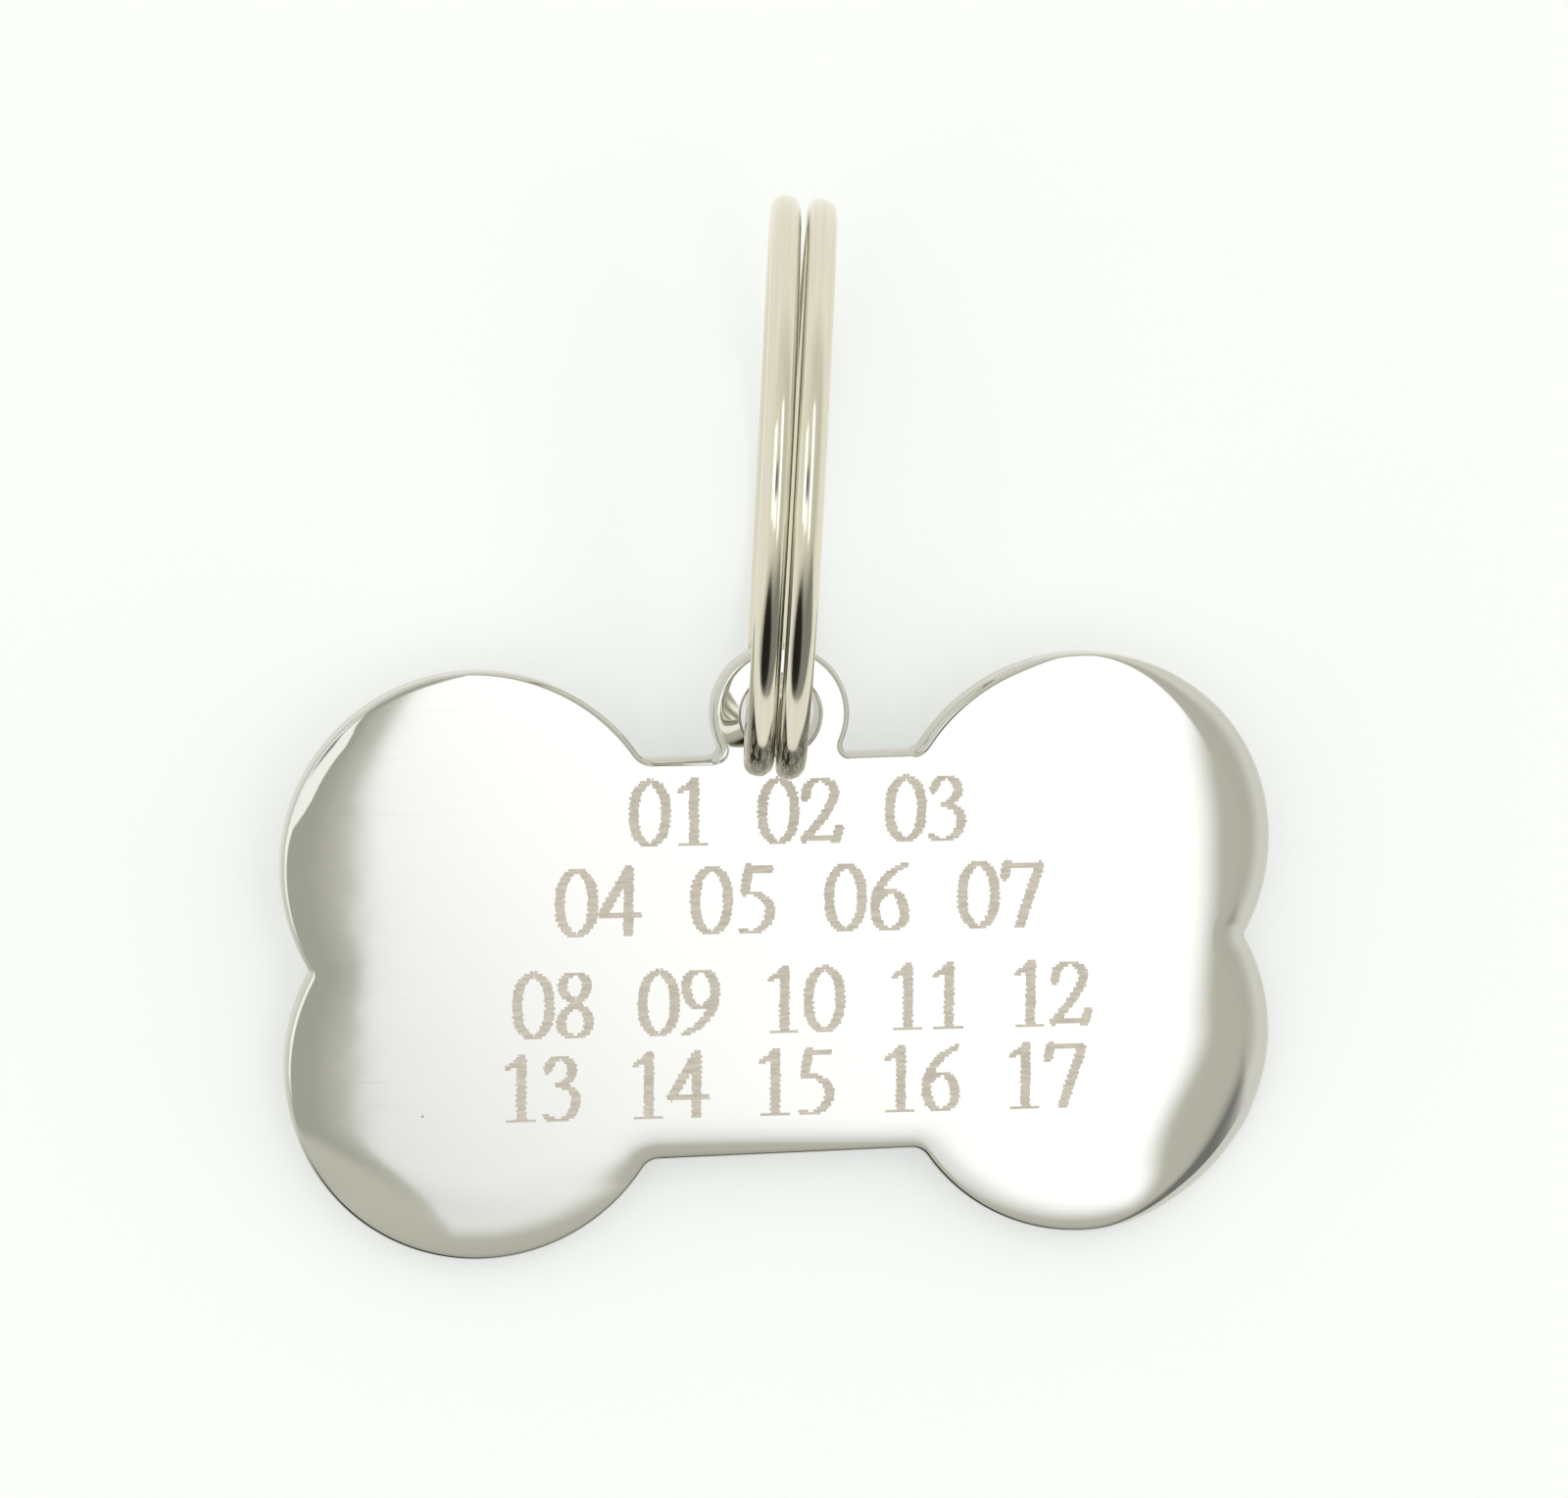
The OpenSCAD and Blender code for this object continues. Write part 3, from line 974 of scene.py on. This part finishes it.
def coilMesh():
    # One length of wire in two turns, with the same crossing and spread as the frame's ring
    radius = wire["wireDiameter"] / 2
    ringRadius = wire["ringDiameter"] / 2 - radius
    offset = (wire["wireDiameter"] + wire["coilGap"]) / 2
    half = wire["crossingRun"] / 2 / ringRadius
    last = 2 * math.pi - half - wire["endGap"] / ringRadius
    start = math.radians(wire["crossingAngle"])
    probe = wire["probe"]

    def side(turn):
        if abs(turn) >= half:
            return math.copysign(1.0, turn)
        share = (turn + half) / (2 * half)
        return 2 * share * share * (3 - 2 * share) - 1

    def spread(turn):
        return wire["coilSpread"] / 2 * max(math.cos(start + turn), 0) ** 2

    def middle(turn):
        return Vector((
            ringRadius * math.cos(start + turn) - side(turn) * wire["coilShift"] / 2,
            ringRadius * math.sin(start + turn),
            side(turn) * (offset + spread(turn)),
        ))

    count = math.ceil(2 * last / math.radians(wire["step"]))
    sides = wire["sides"]
    power = 2 / wire["crownFlatness"]
    vertices, polygons, wraps = [], [], []
    for i in range(count + 1):
        turn = -last + 2 * last * i / count
        run = (middle(turn + probe) - middle(turn - probe)).normalized()
        out = Vector((math.cos(start + turn), math.sin(start + turn), 0))
        across = (out - out.dot(run) * run).normalized()
        level = run.cross(across)
        lean = wire["crownLean"] * (1 + side(turn)) / 2
        for k in range(sides):
            angle = 2 * math.pi * k / sides
            c, s = math.cos(angle), math.sin(angle)
            a = math.copysign(abs(c) ** power, c)
            b = math.copysign(abs(s) ** power, s) + lean * c * c
            vertices.append(middle(turn) + radius * (a * across + b * level))
    for i in range(count):
        for k in range(sides):
            n = (k + 1) % sides
            polygons.append((i * sides + k, (i + 1) * sides + k, (i + 1) * sides + n, i * sides + n))
            wraps += [(k, i), (k, i + 1), (k + 1, i + 1), (k + 1, i)]
    polygons.append(tuple(range(sides)))
    polygons.append(tuple(count * sides + k for k in reversed(range(sides))))
    wraps += [(0, 0)] * (2 * sides)
    mesh = bpy.data.meshes.new("splitRingWire")
    mesh.from_pydata(vertices, [], polygons)
    unrolled = mesh.uv_layers.new(name="unrolled")
    for loop, (k, i) in zip(unrolled.data, wraps):
        loop.uv = (k / sides, i / count)
    mesh.transform(coilPose(ringRadius))
    mesh.validate()
    return mesh


# Rows of counting numbers: text, left end, right end, baseline and height in the tag's plane.
# Pens and samples are shares of the numerals' height, other lengths are in millimetres.
numberRows = {
    "rows": [
        ("01 02 03", -6.0, 7.1, 4.32, 2.55),
        ("04 05 06 07", -8.8, 10.1, 0.92, 2.62),
        ("08 09 10 11 12", -10.4, 11.9, -2.94, 2.55),
        ("13 14 15 16 17", -10.9, 11.8, -6.12, 2.55),
    ],
    "turn": -1.0,
    "linePitch": 0.1,
    "lineShift": 0.016,
    "lineJitter": 0.026,
    "raise": 0.006,
    "sink": 0.02,
    "thinPen": 0.05,
    "thickPen": 0.15,
    "penPower": 1.3,
    "curvePieces": 14,
    "straightPieces": 60,
    "sampleShares": (-0.05, 0.75, 0.004),
    "seed": 7,
}

# Pen strokes of the numerals in shares of their height: lists of points that a smooth line runs through
strokeShares = {
    "0": [
        [(0.32, 0.97), (0.13, 0.80), (0.08, 0.49), (0.13, 0.18), (0.32, 0.02),
         (0.51, 0.18), (0.56, 0.49), (0.51, 0.80), (0.32, 0.97)],
    ],
    "1": [
        [(0.13, 0.82), (0.24, 0.88), (0.34, 0.96)],
        [(0.34, 0.96), (0.34, 0.03)],
        [(0.14, 0.02), (0.54, 0.02)],
    ],
    "2": [
        [(0.08, 0.70), (0.14, 0.88), (0.31, 0.96), (0.49, 0.86), (0.50, 0.66), (0.34, 0.38), (0.07, 0.06)],
        [(0.06, 0.05), (0.55, 0.05)],
        [(0.06, 0.08), (0.55, 0.08)],
        [(0.55, 0.05), (0.60, 0.22)],
    ],
    "3": [
        [(0.09, 0.78), (0.18, 0.92), (0.33, 0.95), (0.46, 0.82), (0.42, 0.64), (0.24, 0.54)],
        [(0.24, 0.54), (0.45, 0.47), (0.52, 0.28), (0.42, 0.08), (0.22, 0.02), (0.06, 0.08)],
    ],
    "4": [
        [(0.42, 0.96), (0.22, 0.62), (0.04, 0.31)],
        [(0.04, 0.29), (0.60, 0.29)],
        [(0.04, 0.32), (0.60, 0.32)],
        [(0.42, 0.96), (0.42, 0.02)],
    ],
    "5": [
        [(0.20, 0.95), (0.55, 0.95)],
        [(0.20, 0.92), (0.53, 0.92)],
        [(0.21, 0.95), (0.15, 0.62)],
        [(0.12, 0.58), (0.33, 0.57), (0.51, 0.41), (0.49, 0.18), (0.31, 0.03), (0.07, 0.05)],
    ],
    "6": [
        [(0.55, 0.97), (0.32, 0.83), (0.14, 0.58), (0.10, 0.30), (0.18, 0.08), (0.33, 0.02),
         (0.50, 0.11), (0.53, 0.31), (0.44, 0.52), (0.28, 0.57), (0.15, 0.47)],
    ],
    "7": [
        [(0.08, 0.94), (0.58, 0.94)],
        [(0.07, 0.91), (0.57, 0.91)],
        [(0.08, 0.94), (0.05, 0.77)],
        [(0.57, 0.92), (0.43, 0.50), (0.28, 0.02)],
    ],
    "8": [
        [(0.32, 0.97), (0.15, 0.88), (0.15, 0.68), (0.32, 0.53), (0.50, 0.36), (0.50, 0.12), (0.32, 0.02),
         (0.13, 0.12), (0.13, 0.34), (0.32, 0.51), (0.47, 0.68), (0.47, 0.87), (0.32, 0.97)],
    ],
    "9": [
        [(0.49, 0.52), (0.36, 0.42), (0.20, 0.47), (0.11, 0.68), (0.14, 0.88), (0.31, 0.97),
         (0.46, 0.91), (0.54, 0.69), (0.50, 0.41), (0.32, 0.16), (0.09, 0.02)],
    ],
}


def smoothLine(points):
    # A straight line through two points, or a Catmull-Rom line through more
    p = [np.array(point, float) for point in points]
    if len(p) == 2:
        return [blend(*p, t) for t in np.linspace(0, 1, numberRows["straightPieces"])]
    closed = points[0] == points[-1]
    before = p[-2] if closed else 2 * p[0] - p[1]
    after = p[1] if closed else 2 * p[-1] - p[-2]
    p = [before, *p, after]
    line = []
    for a, b, c, d in zip(p, p[1:], p[2:], p[3:]):
        for t in np.linspace(0, 1, numberRows["curvePieces"], endpoint=False):
            bend = (2 * a - 5 * b + 4 * c - d) * t * t
            line.append(0.5 * (2 * b + (c - a) * t + bend + (3 * b - a - 3 * c + d) * t ** 3))
    line.append(p[-2])
    return line


def glyphCover(digit, xs, y, height):
    # Which of the sample places along one raster line the pen covers
    cover = np.zeros(len(xs), bool)
    thin, thick = numberRows["thinPen"], numberRows["thickPen"]
    for stroke in strokeShares[digit]:
        line = smoothLine(stroke)
        for first, second in zip(line, line[1:]):
            run = second - first
            steepness = abs(run[1]) / max(np.hypot(*run), 1e-9)
            pen = blend(thin, thick, steepness ** numberRows["penPower"]) / 2
            middle = (first + second) / 2
            lift = abs(y / height - middle[1])
            if lift < pen:
                reach = math.sqrt(pen ** 2 - lift ** 2) + abs(run[0]) / 2
                cover |= np.abs(xs / height - middle[0]) < reach
    return cover


def numbersMesh():
    # Each numeral is burned in by short raster lines, whose ends don't quite line up
    dice = random.Random(numberRows["seed"])
    pitch, jitter = numberRows["linePitch"], numberRows["lineJitter"]
    turn = Matrix.Rotation(math.radians(numberRows["turn"]), 4, "Z")
    top = plate["thickness"] / 2 + numberRows["raise"]
    bottom = plate["thickness"] / 2 - numberRows["sink"]
    vertices, polygons = [], []

    def addBar(x0, x1, y0, y1):
        base = len(vertices)
        for z in (bottom, top):
            vertices.extend(turn @ Vector((x, y, z)) for x, y in ((x0, y0), (x1, y0), (x1, y1), (x0, y1)))
        polygons.append((base + 4, base + 5, base + 6, base + 7))
        polygons.append((base + 3, base + 2, base + 1, base))
        for i in range(4):
            j = (i + 1) % 4
            polygons.append((base + i, base + j, base + 4 + j, base + 4 + i))

    for text, left, right, baseline, height in numberRows["rows"]:
        advance = (right - left) / len(text)
        xs = np.arange(*numberRows["sampleShares"]) * height
        for place, digit in enumerate(text):
            if digit == " ":
                continue
            originX = left + place * advance
            for line in range(math.ceil(height / pitch)):
                y = (line + 0.5) * pitch
                cover = glyphCover(digit, xs, y, height)
                flips = np.flatnonzero(np.diff(np.concatenate([[0], cover.astype(int), [0]])))
                shift = numberRows["lineShift"] * (1 if line % 2 else -1)
                for start, end in zip(flips[::2], flips[1::2]):
                    x0 = originX + xs[start] + shift + dice.uniform(-1, 1) * jitter
                    x1 = originX + xs[end - 1] + shift + dice.uniform(-1, 1) * jitter
                    addBar(x0, x1, baseline + y - pitch / 2, baseline + y + pitch / 2)
    mesh = bpy.data.meshes.new("etchedNumbers")
    mesh.from_pydata(vertices, [], polygons)
    mesh.transform(tagPose())
    return mesh


bpy.context.scene.view_settings.view_transform = "Standard"
makeCamera()
makeTent()
makeFloor()
print("studio ready")

hairlines, specks = makeHairlines(), makeSpecks()
tagMesh, tagMaterial = buildTagMesh(), polishedSteel(hairlines, specks)
makePiece("polished_tag", tagMesh, "tag", "polished_steel", tagMaterial, "tag_plate")
print("tag ready")

makePiece("ring_wire", coilMesh(), "ring", "ring_wire", springWire(specks), "split_ring")
print("ring ready")

numbers = makePiece("etched_numbers", numbersMesh(), "tag", "polished_steel", etchedGrey())
for polygon in numbers.data.polygons:
    polygon.use_smooth = False
print("numbers ready")
